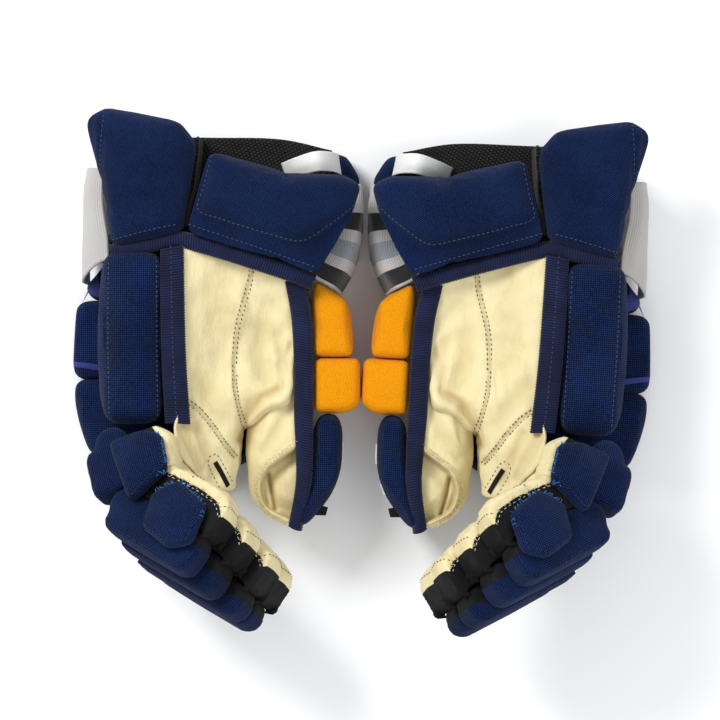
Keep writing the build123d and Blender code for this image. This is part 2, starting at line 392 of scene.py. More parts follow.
def make_finishes():
    """Makes every material of the gloves, each kept under a short name."""
    navy, light, tape_shade = colour("navy"), colour("navy_light"), colour("tape")
    pitch = size("weave")
    threads = {
        "grey": rgba(0.055, 0.065, 0.105),
        "white": rgba(0.75, 0.75, 0.75),
        "navy": rgba(0.004, 0.010, 0.045),
        "shell": rgba(0.055, 0.085, 0.17),
        "fray": colour("fray"),
        "cream": rgba(0.75, 0.62, 0.33),
    }
    FINISHES.update({f"thread_{name}": thread(f"{name}_thread", shade) for name, shade in threads.items()})
    FINISHES.update({
        "shell": woven("navy_shell", navy, light, pitch),
        "shell_diagonal": woven("navy_shell_diagonal", navy, light, pitch * 0.85, 38, True),
        "yellow": woven(
            "yellow_shell", rgba(0.62, 0.20, 0.002), colour("yellow"), pitch * 0.8, 35, True, 0.15, 0.05, 0.0002),
        "leather": leather("cream_leather"),
        # painted shade in the rib valleys, at 8 percent of the binding's colour
        "tape": ribbed("ribbed_tape", dimmed(tape_shade, 0.08), tape_shade),
        "knit": knit("white_knit", colour("white"), rgba(0.42, 0.38, 0.38)),
        "knit_grey": knit("grey_knit", colour("grey"), rgba(0.15, 0.17, 0.18)),
        "knit_black": knit("black_knit", rgba(0.02, 0.02, 0.022), rgba(0.008, 0.008, 0.008)),
        "stretch": stretch("black_stretch", colour("black")),
        "lining": woven(
            "charcoal_lining", rgba(0.004, 0.004, 0.004), rgba(0.028, 0.028, 0.028), LINING_PITCH, 45, True, 0.3,
            0.1),
        # painted shade in the patches' rib valleys, with the darker of these two colours
        "print": ribbed("printed_patch", rgba(0.020, 0.026, 0.13), rgba(0.035, 0.045, 0.20)),
        "label": woven(
            "label_satin", rgba(0.62, 0.62, 0.60), rgba(0.80, 0.80, 0.78), SATIN_PITCH, 0, False, 0.05, 0.0, 0.00004),
    })


# ---- mesh helpers ----
def mirrored(mesh, name):
    """A copy of a left glove's mesh laid on the right glove, with its faces turned the right way."""
    made = mesh.copy()
    made.name = name
    made.transform(TO_RIGHT)
    made.flip_normals()
    return made


def other(name):
    """The right glove's name for a left glove's piece, body or node."""
    return name.replace("left_", "right_", 1)


def pair(name, mesh, finishes, follow, nodes=()):
    """A left piece and its mirror image on the right glove.

    follow is a body, which the piece is attached to, or two bodies with two points, which are not used: such a piece
    stays unattached.
    """
    for right in (False, True):
        side_mesh = mirrored(mesh, name) if right else mesh
        if not right:
            for finish in finishes.split():
                side_mesh.materials.append(FINISHES[finish])
        side_mesh.shade_smooth()
        piece_name = other(name) if right else name
        side_mesh.name = piece_name
        piece = bpy.data.objects.new(piece_name, side_mesh)
        bpy.context.scene.collection.objects.link(piece)
        if isinstance(follow, str):
            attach(piece, other(follow) if right else follow)
        else:
            first, second, begin, finish_point = follow
            if right:
                first, second = other(first), other(second)
                begin, finish_point = TO_RIGHT @ begin, TO_RIGHT @ finish_point
            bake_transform(piece)
        for node in nodes:
            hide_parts(other(node) if right else node)


def smooth_line(points, count):
    """Even points on a smooth line through the given ones."""
    points = [Vector(point) for point in points]
    ends = [points[0] * 2 - points[1], *points, points[-1] * 2 - points[-2]]
    dense = []
    parts = 16
    for a, b, c, d in zip(ends, ends[1:], ends[2:], ends[3:]):
        for step in range(parts):
            t = step / parts
            dense.append(0.5 * (2 * b + (c - a) * t + (2 * a - 5 * b + 4 * c - d) * t * t
                                + (3 * b - a - 3 * c + d) * t ** 3))
    dense.append(points[-1])
    lengths = [0.0]
    for a, b in zip(dense, dense[1:]):
        lengths.append(lengths[-1] + (b - a).length)
    even, index = [], 0
    for number in range(count):
        goal = lengths[-1] * number / (count - 1)
        while index < len(dense) - 2 and lengths[index + 1] < goal:
            index += 1
        gap = lengths[index + 1] - lengths[index]
        share = 0 if gap < 1e-12 else (goal - lengths[index]) / gap
        even.append(dense[index].lerp(dense[index + 1], min(1, share)))
    return even


def line_length(points):
    """Length of a line through points."""
    return sum((b - a).length for a, b in zip(points, points[1:]))


class Patch:
    """A sheet of fabric laid over rails that run side by side, as a grid of faces."""

    def __init__(self, rails, rows, columns, facing=(0, 0, 1)):
        lines = [smooth_line(rail, rows + 1) for rail in rails]
        across = [smooth_line([line[row] for line in lines], columns + 1) for row in range(rows + 1)]
        self.rows, self.columns = rows, columns
        self.length = sum(line_length(line) for line in lines) / len(lines)
        self.width = sum(line_length(line) for line in across) / len(across)
        self.sheet = bmesh.new()
        bmesh.ops.create_grid(self.sheet, x_segments=columns, y_segments=rows, size=0.5)
        layer = self.sheet.loops.layers.uv.new("Weave")
        self.grid = {}
        self.key = {}
        for vert in self.sheet.verts:
            column, row = round((vert.co.x + 0.5) * columns), round((vert.co.y + 0.5) * rows)
            self.grid[column, row] = vert
            self.key[vert] = (column, row)
        for (column, row), vert in self.grid.items():
            vert.co = across[row][column]
        middle = smooth_line(rails[len(rails) // 2], rows + 1)
        step = line_length(middle) / rows
        for face in self.sheet.faces:
            for loop in face.loops:
                column, row = self.key[loop.vert]
                loop[layer].uv = (row * step, column / columns * self.width)
        self.sheet.normal_update()
        if sum((face.normal.dot(Vector(facing)) * face.calc_area() for face in self.sheet.faces)) < 0:
            bmesh.ops.reverse_faces(self.sheet, faces=self.sheet.faces)
            self.sheet.normal_update()

    def lift(self, height):
        """Moves the sheet along its normals by height(along share, across share, place)."""
        self.sheet.normal_update()
        moves = [
            (vert, vert.normal * height(self.key[vert][1] / self.rows, self.key[vert][0] / self.columns, vert.co))
            for vert in self.sheet.verts
        ]
        for vert, move in moves:
            vert.co += move

    def paint(self, choose):
        """Gives each face its material by choose(along share, across share)."""
        for face in self.sheet.faces:
            keys = [self.key[vert] for vert in face.verts]
            row = sum(key[1] for key in keys) / 4 / self.rows
            column = sum(key[0] for key in keys) / 4 / self.columns
            face.material_index = choose(row, column)

    def rib(self, pitch, height):
        """Raises ribs across the sheet."""
        length = self.length
        self.lift(lambda along, across, place: height * (0.5 - 0.5 * math.cos(along * length / pitch * 2 * math.pi)))

    def line(self, across, begin=0.0, end=1.0):
        """Points along the sheet at a share of its width, with the sheet's normals there."""
        self.sheet.normal_update()
        found = []
        place = across * self.columns
        low = min(int(place), self.columns - 1)
        for row in range(round(begin * self.rows), round(end * self.rows) + 1):
            a, b = self.grid[low, row], self.grid[low + 1, row]
            share = place - low
            found.append((a.co.lerp(b.co, share), a.normal.lerp(b.normal, share).normalized()))
        return found

    def mesh(self, thickness, folds=()):
        """The finished sheet with its thickness. Near a fold line its leather gets painted shade."""
        made = bpy.data.meshes.new("sheet")
        if folds:
            # painted shade near the fold lines, one number to each point
            layer = self.sheet.verts.layers.float.new("Fold")
            for vert in self.sheet.verts:
                vert[layer] = fold_depth(vert.co, folds)
        self.sheet.to_mesh(made)
        if thickness:
            made = with_modifiers(made, [("SOLIDIFY", {"thickness": thickness, "offset": -1.0})])
        return made


def flat_distance(place, line):
    """Distance in plan from a point to a line through points, in metres."""
    best = 1e9
    for a, b in zip(line, line[1:]):
        run = b.xy - a.xy
        share = max(0, min(1, (place.xy - a.xy).dot(run) / max(run.length_squared, 1e-12)))
        best = min(best, (place.xy - a.xy - run * share).length)
    return best


def fold_depth(place, folds):
    """How deep in a fold a point lies. A fold is a line, its width and its strength; a raised one is below 0."""
    depths = [strength * bell(flat_distance(place, line), width) for line, width, strength in folds]
    return max(depths, key=abs)


def plan(*points):
    """Drawing points in millimetres, at no particular height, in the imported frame."""
    return [at(x, y, 0) for x, y in points]


def surface_of(*meshes):
    """A tree of one or more meshes' faces, for laying things on them."""
    shell = bmesh.new()
    for mesh in meshes:
        shell.from_mesh(mesh)
    tree = BVHTree.FromBMesh(shell)
    shell.free()
    return tree


def laid(points, tree, down=(0, 0, -1)):
    """Points dropped on a surface, each with the surface's normal. Those that miss are left out."""
    down = Vector(down)
    found = []
    for point in points:
        place, normal, _, _ = tree.ray_cast(point - down * 0.3, down)
        if place is not None:
            found.append((place, normal))
    return found


def laid_line(points, count, tree):
    """A smooth line through points in plan, laid on a surface from above."""
    return laid(smooth_line(points, count), tree)


def run_of_stitches(shell, course, radius=None, length=None, gap=None, lift=0.8):
    """Adds sewn stitches to a mesh along a course of points with normals."""
    radius = radius or size("thread") / 2
    length = length or size("stitch")
    gap = gap if gap is not None else size("stitch_gap")
    if len(course) < 3:
        return
    travelled, goal = 0.0, 0.0
    for (a, normal), (b, _) in zip(course, course[1:]):
        step = (b - a).length
        if step > SEWN_GAP:
            travelled, goal = 0.0, 0.0
            continue
        while travelled + step >= goal:
            share = 0 if step < 1e-9 else (goal - travelled) / step
            place = a.lerp(b, share) + normal * radius * lift
            forward = (b - a).normalized()
            side = normal.cross(forward).normalized()
            turn = Matrix((forward, side, forward.cross(side))).transposed().to_4x4()
            shape = Matrix.Translation(place) @ turn @ Matrix.Diagonal((length / 2, radius, radius, 1))
            bmesh.ops.create_uvsphere(shell, u_segments=6, v_segments=4, radius=1.0, matrix=shape)
            goal += length + gap
        travelled += step


# noise_vector starts from the clock unless it is given a number, and then each run would differ
THREAD_DRAW = 7


def loose_threads(shell, course, count, seed):
    """Short loose threads that stand out of a cut edge in all directions, the same ones in each run."""
    noise.seed_set(THREAD_DRAW)
    for number in range(count):
        place, normal = course[number * (len(course) - 1) // (count - 1)]
        turn = noise.noise_vector(Vector((number * 1.7 + 31 * seed, 0.3, 4.1))) * 1.6
        forward = (normal * 0.5 + turn).normalized()
        long = 0.0022 + 0.0022 * abs(noise.noise(Vector((number * 2.3, 7.7, seed))))
        rotation = forward.to_track_quat("Z", "Y").to_matrix().to_4x4()
        shape = Matrix.Translation(place + forward * long * 0.4) @ rotation
        bmesh.ops.create_cone(
            shell, cap_ends=True, segments=5, radius1=0.00026, radius2=0.00016, depth=long, matrix=shape)


def beside(course, shift):
    """A course moved sideways over its surface."""
    moved = []
    for index, (place, normal) in enumerate(course):
        before, after = course[max(0, index - 1)][0], course[min(len(course) - 1, index + 1)][0]
        side = normal.cross(after - before)
        if side.length > 1e-9:
            moved.append((place + side.normalized() * shift, normal))
    return moved


def finished(shell, name):
    """A bmesh as a mesh."""
    made = bpy.data.meshes.new(name)
    shell.to_mesh(made)
    shell.free()
    return made


def piping(course, radius):
    """A round cord sewn along a course of points."""
    curve = bpy.data.curves.new("piping", "CURVE")
    curve.dimensions = "3D"
    curve.bevel_depth = radius
    curve.bevel_resolution = 2
    curve.use_fill_caps = True
    line = curve.splines.new("POLY")
    line.points.add(len(course) - 1)
    for point, place in zip(line.points, course):
        point.co = (*place, 1)
    carrier = bpy.data.objects.new("piping", curve)
    bpy.context.scene.collection.objects.link(carrier)
    made = evaluated(carrier)
    bpy.data.objects.remove(carrier)
    layer = made.uv_layers[0] if made.uv_layers else made.uv_layers.new()
    layer.name = "Weave"
    return made


def evaluated(piece):
    """The mesh of an object with its modifiers applied."""
    graph = bpy.context.evaluated_depsgraph_get()
    return bpy.data.meshes.new_from_object(piece.evaluated_get(graph), depsgraph=graph)


def with_modifiers(mesh, modifiers):
    """A mesh after some modifiers: each is its type and its settings."""
    carrier = bpy.data.objects.new("carrier", mesh)
    bpy.context.scene.collection.objects.link(carrier)
    for kind, settings in modifiers:
        made = carrier.modifiers.new(kind, kind)
        for key, value in settings.items():
            setattr(made, key, value)
    result = evaluated(carrier)
    bpy.data.objects.remove(carrier)
    return result


def solids_of(node):
    """Copies of a CAD node's closed solids, each merged, in the order they were packed in."""
    whole = bmesh.new()
    whole.from_mesh(frame["nodes"][node].data)
    bmesh.ops.remove_doubles(whole, verts=whole.verts, dist=1e-6)
    left = set(whole.verts)
    found = []
    while left:
        stack = [next(v for v in whole.verts if v in left)]
        part = set(stack)
        while stack:
            for edge in stack.pop().link_edges:
                for vert in edge.verts:
                    if vert not in part:
                        part.add(vert)
                        stack.append(vert)
        left -= part
        found.append(part)
    meshes = []
    for part in found:
        solid = whole.copy()
        kept = {v.index for v in part}
        solid.verts.ensure_lookup_table()
        bmesh.ops.delete(solid, geom=[v for v in solid.verts if v.index not in kept], context="VERTS")
        bmesh.ops.recalc_face_normals(solid, faces=solid.faces)
        mesh = bpy.data.meshes.new(node)
        solid.to_mesh(mesh)
        solid.free()
        meshes.append(mesh)
    whole.free()
    return meshes


def solid_size(mesh):
    """Lengths of a mesh's box along the three axes."""
    corners = [[vert.co[axis] for vert in mesh.vertices] for axis in range(3)]
    return [max(values) - min(values) for values in corners]


def even_grid(mesh, grow, voxel):
    """A closed mesh as an even grid of faces, its surface moved out a little."""
    made = with_modifiers(mesh, [("REMESH", {"mode": "VOXEL", "voxel_size": voxel, "adaptivity": 0.0})])
    shell = bmesh.new()
    shell.from_mesh(made)
    shell.normal_update()
    bmesh.ops.smooth_vert(shell, verts=shell.verts, factor=0.5, use_axis_x=True, use_axis_y=True, use_axis_z=True)
    shell.normal_update()
    moves = [(v, v.normal * grow) for v in shell.verts]
    for vert, move in moves:
        vert.co += move
    shell.to_mesh(made)
    shell.free()
    return made


# how the pads' cloth behaves while it is stuffed
CLOTH = {
    "quality": 4,
    "mass": 0.0006,
    "use_pressure": True,
    "uniform_pressure_force": 4.0,
    "tension_stiffness": 6.0,
    "compression_stiffness": 6.0,
    "shear_stiffness": 6.0,
    "bending_stiffness": 0.25,
    "air_damping": 1.0,
}
CLOTH_FRAMES = 20


def stuffed(meshes, cap):
    """Blows closed cloth shells up as their filling does, all in one simulation, by the cap at most."""
    joined = bmesh.new()
    for mesh in meshes:
        joined.from_mesh(mesh)
    whole = bpy.data.meshes.new("stuffing")
    joined.to_mesh(whole)
    joined.free()
    carrier = bpy.data.objects.new("stuffing", whole)
    bpy.context.scene.collection.objects.link(carrier)
    cloth = carrier.modifiers.new("Cloth", "CLOTH")
    for key, value in CLOTH.items():
        setattr(cloth.settings, key, value)
    cloth.settings.effector_weights.gravity = 0.0
    cloth.collision_settings.use_collision = False
    cloth.point_cache.frame_end = CLOTH_FRAMES
    scene = bpy.context.scene
    for number in range(1, CLOTH_FRAMES + 1):
        scene.frame_set(number)
    swollen = evaluated(carrier)
    start = 0
    for mesh in meshes:
        for vert in mesh.vertices:
            move = swollen.vertices[start + vert.index].co - vert.co
            if move.length > cap:
                move *= cap / move.length
            vert.co += move
        start += len(mesh.vertices)
    bpy.data.objects.remove(carrier)
    scene.frame_set(1)
    return meshes


def box_weave(mesh, axes):
    """Gives a mesh its weave coordinates, laid on from the nearest of three directions."""
    layer = mesh.uv_layers.new(name="Weave")
    turn = Matrix(axes)
    for face in mesh.polygons:
        normal = turn @ face.normal
        if abs(normal.z) >= max(abs(normal.x), abs(normal.y)):
            first, second = 0, 1
        elif abs(normal.y) >= abs(normal.x):
            first, second = 0, 2
        else:
            first, second = 2, 1
        for loop in face.loop_indices:
            place = turn @ mesh.vertices[mesh.loops[loop].vertex_index].co
            layer.data[loop].uv = (place[first], place[second])


FLAT_AXES = ((1, 0, 0), (0, 1, 0), (0, 0, 1))


def pad_list():
    """Every padded node of the left glove: node, finish, slot, fill, axes of its weave."""
    rows = []
    for finger in FINGERS:
        for part in ("base", "tip"):
            rows.append((f"left_{finger}_{part}_roll", "shell", "navy_fabric", 0.85, segment_axes(finger, part)))
    rows += [
        ("left_pinky_side_pad", "shell", "navy_fabric", 0.8, segment_axes("pinky", "base")),
        ("left_pinky_tip_pad", "shell", "navy_fabric", 0.8, segment_axes("pinky", "tip")),
        ("left_back_rolls", "shell", "navy_fabric", 0.85, FLAT_AXES),
        ("left_pinky_side_roll", "shell", "navy_fabric", 0.9, FLAT_AXES),
        ("left_cuff_back_pad", "shell_diagonal", "navy_fabric", 0.7, FLAT_AXES),
        ("left_cuff_palm_pad", "shell_diagonal", "navy_fabric", 0.75, FLAT_AXES),
        ("left_cuff_pinky_pad", "shell_diagonal", "navy_fabric", 0.75, FLAT_AXES),
        ("left_thumb_base_pads", "yellow", "yellow_fabric", 0.8, FLAT_AXES),
        ("left_thumb_tip_pad", "shell", "navy_fabric", 0.85, FLAT_AXES),
    ]
    return rows


# the finished mesh of each of the left glove's pads
PADS = {}
# pads shorter than this get a finer cloth grid, by this share
SMALL_PAD = 75 * MM
FINER = 0.72
# how far a shell starts outside its solid, and how far the lowest ones stay above the floor
GRID_GROWTH = 0.2 * MM
FLOOR_GAP = 0.3 * MM


def smooth_step(value):
    """0 below 0, 1 above 1 and a soft curve between."""
    value = max(0.0, min(1.0, value))
    return value * value * (3 - 2 * value)


def bell(distance, width):
    """1 at no distance, falling off softly over a width."""
    return math.exp(-(distance / width) ** 2)


def inside(place, outline):
    """Whether a point lies in an outline in plan."""
    odd = False
    for a, b in zip(outline, outline[1:] + outline[:1]):
        if (a.y > place.y) != (b.y > place.y):
            if place.x < a.x + (place.y - a.y) * (b.x - a.x) / (b.y - a.y):
                odd = not odd
    return odd


CUFF_RIDGE = plan(
    (-92.4, 131), (-97, 113), (-100.5, 98.5), (-86, 92.5), (-71.9, 87.8), (-52, 82), (-37.8, 79), (-25.4, 85),
    (-6.8, 99), (6, 112))
CUFF_FOLD = plan((-158.5, 163), (-160, 150), (-161.5, 132), (-161, 115), (-158.5, 98))
CUFF_CROWN = plan((-140, 150), (-128, 110), (-130, 84))


def shape_cuff_palm(mesh):
    """The puffed upper part over a flat flange, with a sewn line between."""
    puffed = CUFF_RIDGE + plan((10, 140), (-100, 150))
    top = max(vert.co.z for vert in mesh.vertices)
    for vert in mesh.vertices:
        upper = smooth_step((vert.co.z - top + 0.012) / 0.010)
        gap = flat_distance(vert.co, CUFF_RIDGE)
        if inside(vert.co, puffed):
            vert.co.z += upper * (0.0016 * smooth_step(gap / 0.012) - 0.0028 * bell(gap, 0.0020))
        else:
            vert.co.z -= upper * (0.0028 + 0.0034 * smooth_step(gap / 0.003))


def shape_cuff_pinky(mesh):
    """The flared cuff pad's outer edge turns down past a sewn fold."""
    top = max(vert.co.z for vert in mesh.vertices)
    for vert in mesh.vertices:
        upper = smooth_step((vert.co.z - top + 0.014) / 0.010)
        gap = flat_distance(vert.co, CUFF_FOLD)
        vert.co.z -= upper * 0.0024 * bell(gap, 0.0024)
        if vert.co.x < at(-160.5, 0, 0).x:
            vert.co.z -= upper * 0.004 * smooth_step(gap / 0.008)
        vert.co.z += upper * 0.0022 * bell(flat_distance(vert.co, CUFF_CROWN), 0.016)


def round_off(mesh, top, bottom):
    """Draws a tall pad's sides in towards its top and its bottom."""
    heights = [vert.co.z for vert in mesh.vertices]
    middle, half = (max(heights) + min(heights)) / 2, (max(heights) - min(heights)) / 2
    moves = []
    for vert in mesh.vertices:
        share = (vert.co.z - middle) / half
        depth = (top if share > 0 else bottom) * abs(share) ** 3
        moves.append((vert, Vector((vert.normal.x, vert.normal.y, 0)) * depth))
    for vert, move in moves:
        vert.co -= move


def shape_thumb_tip(mesh):
    """The thumb's tip pad is round at its top and bottom."""
    round_off(mesh, 0.0022, 0.0050)


def shape_thumb_base(mesh):
    """The yellow pads are full and round at their lower edge."""
    round_off(mesh, 0.0006, 0.0040)


def shape_side_roll(mesh):
    """The pinky-side roll reaches the cuff binding and has a crowned face."""
    round_off(mesh, 0.0012, 0.0030)
    low, high = at(0, -34, 0).y, at(0, 68, 0).y
    for vert in mesh.vertices:
        share = (vert.co.y - low) / (high - low)
        vert.co.y += 0.0042 * smooth_step((share - 0.6) / 0.4) - 0.002 * smooth_step((0.3 - share) / 0.3)
        vert.co.x -= 0.0012 * smooth_step((at(-140, 0, 0).x - vert.co.x) / 0.012)
        if vert.co.z > 0.07:
            vert.co.z += 0.0010 * math.sin(share * 9.0)


def shape_back_rolls(mesh):
    """The rolls on the back of the hand bulge out past the pinky side."""
    for vert in mesh.vertices:
        out = smooth_step((at(-158, 0, 0).x - vert.co.x) / 0.016)
        vert.co.x -= 0.0045 * out
    low = min(vert.co.y for vert in mesh.vertices)
    high = max(vert.co.y for vert in mesh.vertices)
    for vert in mesh.vertices:
        above = smooth_step((vert.co.y - high + 0.012) / 0.012)
        below = smooth_step((low + 0.012 - vert.co.y) / 0.012)
        vert.co.y += 0.0013 * (above - below)


def shape_side_pad(mesh):
    """The small pads on the pinky's side are crowned."""
    row = segment_axes("pinky", "base")[1]
    centre = sum((vert.co for vert in mesh.vertices), Vector()) / len(mesh.vertices)
    outer = max((vert.co - centre).dot(row) for vert in mesh.vertices)
    for vert in mesh.vertices:
        place = vert.co - centre
        height = place.dot(row)
        reach = (place - row * height).length
        if height > 0:
            vert.co += row * (0.0032 * (height / outer) * (1 - smooth_step(reach / 0.022)) - 0.0006)


SHAPED = {
    "left_pinky_side_pad": shape_side_pad,
    "left_pinky_tip_pad": shape_side_pad,
    "left_cuff_palm_pad": shape_cuff_palm,
    "left_cuff_pinky_pad": shape_cuff_pinky,
    "left_pinky_side_roll": shape_side_roll,
    "left_thumb_tip_pad": shape_thumb_tip,
    "left_thumb_base_pads_1": shape_thumb_base,
    "left_thumb_base_pads_2": shape_thumb_base,
    "left_back_rolls_1": shape_back_rolls,
    "left_back_rolls_2": shape_back_rolls,
    "left_back_rolls_3": shape_back_rolls,
}


# length of the black stretch fabric at a finger's tip
BLACK_END = 30 * MM


def black_end(mesh, finger):
    """Towards its tip the roll's palm-side half is black stretch fabric, a little lower than the shell."""
    middle = joint_point(f"left_{finger}_middle")
    along, row, palm = segment_axes(finger, "tip")
    length = max((vert.co - middle).dot(along) for vert in mesh.vertices)
    edge = length - BLACK_END

    def past(place):
        """How far a point lies in the black part."""
        return min(place.dot(along) - edge, place.dot(palm) + 0.003 - 0.12 * (place.dot(along) - edge))

    for vert in mesh.vertices:
        place = vert.co - middle
        if past(place) > 0:
            vert.co -= vert.normal * 0.0009 * smooth_step(past(place) / 0.002)
    for face in mesh.polygons:
        face.material_index = 1 if past(face.center - middle) > 0 else 0


class GLOVES_OT_finishes(bpy.types.Operator):
    """Makes the gloves' fabrics, leathers and threads"""

    bl_idname = "gloves.finishes"
    bl_label = "Finishes"

    def execute(self, context):
        make_finishes()
        return {"FINISHED"}


class GLOVES_OT_pads(bpy.types.Operator):
    """Makes the stuffed pads and rolls of both gloves"""

    bl_idname = "gloves.pads"
    bl_label = "Pads and rolls"

    def execute(self, context):
        rows, shells = [], []
        for node, finish, slot, fill, axes in pad_list():
            solids = solids_of(node)
            for number, solid in enumerate(solids):
                name = node if len(solids) == 1 else f"{node}_{number + 1}"
                voxel = size("voxel") * (FINER if max(solid_size(solid)) < SMALL_PAD else 1.0)
                shells.append(even_grid(solid, GRID_GROWTH, voxel))
                rows.append((name, node, finish, slot, fill, axes))
        shells = stuffed(shells, size("swell"))
        for (name, node, finish, slot, fill, axes), shell in zip(rows, shells):
            for vert in shell.vertices:
                vert.co.z = max(vert.co.z, FLOOR_GAP)
            mesh = with_modifiers(shell, [("SUBSURF", {"levels": 1, "render_levels": 1})])
            if name in SHAPED:
                SHAPED[name](mesh)
            if node.endswith("_tip_roll"):
                black_end(mesh, node.split("_")[1])
                finish = f"{finish} stretch"
            box_weave(mesh, axes)
            PADS[name] = mesh
            pair(f"{name}_cover", mesh, finish, frame["nodes"][node]["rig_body"], [node])
        return {"FINISHED"}


def row_of(*points):
    """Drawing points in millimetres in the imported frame."""
    return [at(*point) for point in points]


def crumple(patch, height, scale, seed):
    """Uneven softness over a whole sheet."""
    shift = Vector((seed * 3.7, seed * 1.3, 0))
    patch.lift(lambda along, across, place: height * noise.noise(place * scale + shift))


def dent(patch, folds, depth):
    """Presses folds into a sheet."""
    patch.lift(lambda along, across, place: -depth * fold_depth(place, folds))


class GLOVES_OT_palm(bpy.types.Operator):
    """Makes the cream leather of the palms with its folds and double seams"""

    bl_idname = "gloves.palm"
    bl_label = "Palm leather"

    def execute(self, context):
        rails = [
            row_of((-113, 77, 69), (-113, 30, 69.8), (-112, -10, 70.5), (-114, -32, 76), (-115, -48, 87)),
            row_of((-100, 77, 67), (-100, 30, 64.5), (-100, -10, 64.5), (-104, -38, 69), (-106, -60, 78)),
            row_of((-86, 76, 66), (-86, 30, 59.5), (-87, -10, 60), (-92, -42, 63), (-96, -70, 68)),
            row_of((-70, 72, 65), (-68, 30, 54.5), (-70, -5, 54.5), (-79, -40, 56), (-86, -76, 57)),
            row_of((-56, 68, 64), (-53, 30, 52.5), (-53, 0, 54), (-72, -30, 53), (-80, -74, 46)),
            row_of(
                (-43, 62, 62), (-41, 28, 53), (-43, -2, 54.5), (-47, -17, 59), (-60, -24, 57), (-74, -42, 46),
                (-78, -68, 34)),
            row_of(
                (-41, 61, 58), (-39, 28, 51), (-40, -6, 51), (-45, -22, 54), (-59, -28, 51), (-71, -42, 40),
                (-76, -66, 30)),
        ]
        palm = Patch(rails, 96, 70)
        long_seam = plan(
            (-67, 66), (-69, 54), (-73, 40), (-77, 24), (-78.7, 6), (-78.3, -12), (-75, -28), (-70.5, -40))
        cross_seam = plan((-108, -20), (-100, -26), (-91, -37), (-85, -46), (-78, -55))
        lip = plan((-72.5, 40), (-76.5, 24), (-80.9, 6), (-80.6, -12), (-77, -28))
        crotch = plan((-52, -12), (-62, -17), (-71, -30), (-75, -44))
        roll = plan((-46, -9), (-52, -12), (-60, -14))
        soft_folds = [
            (plan((-84, 70), (-90, 40), (-88, 10)), 0.010, 0.30),
            (plan((-100, -6), (-92, -20), (-84, -30)), 0.006, 0.40),
            (plan((-62, 24), (-64, 8), (-60, -6)), 0.006, 0.45),
            (plan((-44, 14), (-50, 2), (-50, -10)), 0.003, 0.45),
            (plan((-110, -36), (-104, -48), (-98, -62)), 0.0035, 0.55),
            (plan((-101, -36), (-96, -50), (-90, -66)), 0.0035, 0.50),
            (plan((-52, 20), (-47, 4), (-50, -8)), 0.004, 0.35),
        ]
        crumple(palm, 0.0030, 32, 1)
        crumple(palm, 0.0014, 95, 2)
        dent(palm, soft_folds, 0.0046)
        dent(palm, [(lip, 0.0022, -1.0), (roll, 0.006, -1.0)], 0.0013)
        dent(palm, [(long_seam, 0.0016, 1.0), (cross_seam, 0.0016, 1.0)], 0.0009)
        dent(palm, [(crotch, 0.0035, 1.0)], 0.0026)
        # painted shade along the soft folds, the two seams and the crotch
        folds = soft_folds + [(long_seam, 0.0012, 0.85), (cross_seam, 0.0012, 0.75), (crotch, 0.0026, 1.1)]
        mesh = palm.mesh(LEATHER, folds)
        pair("left_palm_sheet", mesh, "leather", "hands", ["left_palm_leather"])
        tree = surface_of(mesh)
        seams = bmesh.new()
        for line in (long_seam, cross_seam):
            course = laid_line(line, 260, tree)
            for shift in (-0.0014, 0.0014):
                run_of_stitches(seams, beside(course, shift), radius=0.00034, lift=1.5)
        pair("left_palm_seams", finished(seams, "seams"), "thread_grey", "hands")
        slot_line = plan((-90.5, -58), (-86.5, -65), (-82.5, -73))
        course = laid_line(slot_line, 24, tree)
        rails = [
            [place + normal * THIN for place, normal in beside(course, shift)] for shift in (-0.0015, 0, 0.0015)]
        strip = Patch(rails, 20, 4)
        pair("left_palm_slot", strip.mesh(THIN), "stretch", "hands")
        seams = bmesh.new()
        border = plan(
            (-86.5, -76), (-90.5, -69), (-94.3, -61), (-94.5, -55.5), (-90.5, -53), (-87.5, -56), (-83.5, -63.5),
            (-79.5, -71))
        run_of_stitches(seams, laid_line(border, 120, tree))
        pair("left_slot_seams", finished(seams, "seams"), "thread_grey", "hands")
        return {"FINISHED"}


# two points given with the thumb's leather and tape; nothing bends them
THUMB_BEND = (at(-55, -22, 45), at(-50, -50, 45))


def open_fold(place, lip, opening, slit):
    """How high the thumb's leather stands: a rolled lip round a pocket with a slit in its floor."""
    gap = flat_distance(place, lip)
    if not inside(place, opening):
        return 0.0018 * bell(gap, 0.0022)
    wall = 0.0018 * bell(gap, 0.0009) - 0.0085 * smooth_step((gap - 0.0004) / 0.0024)
    ground = 0.0050 * smooth_step((gap - 0.004) / 0.010)
    return wall + ground - 0.0045 * bell(flat_distance(place, slit), 0.0012)


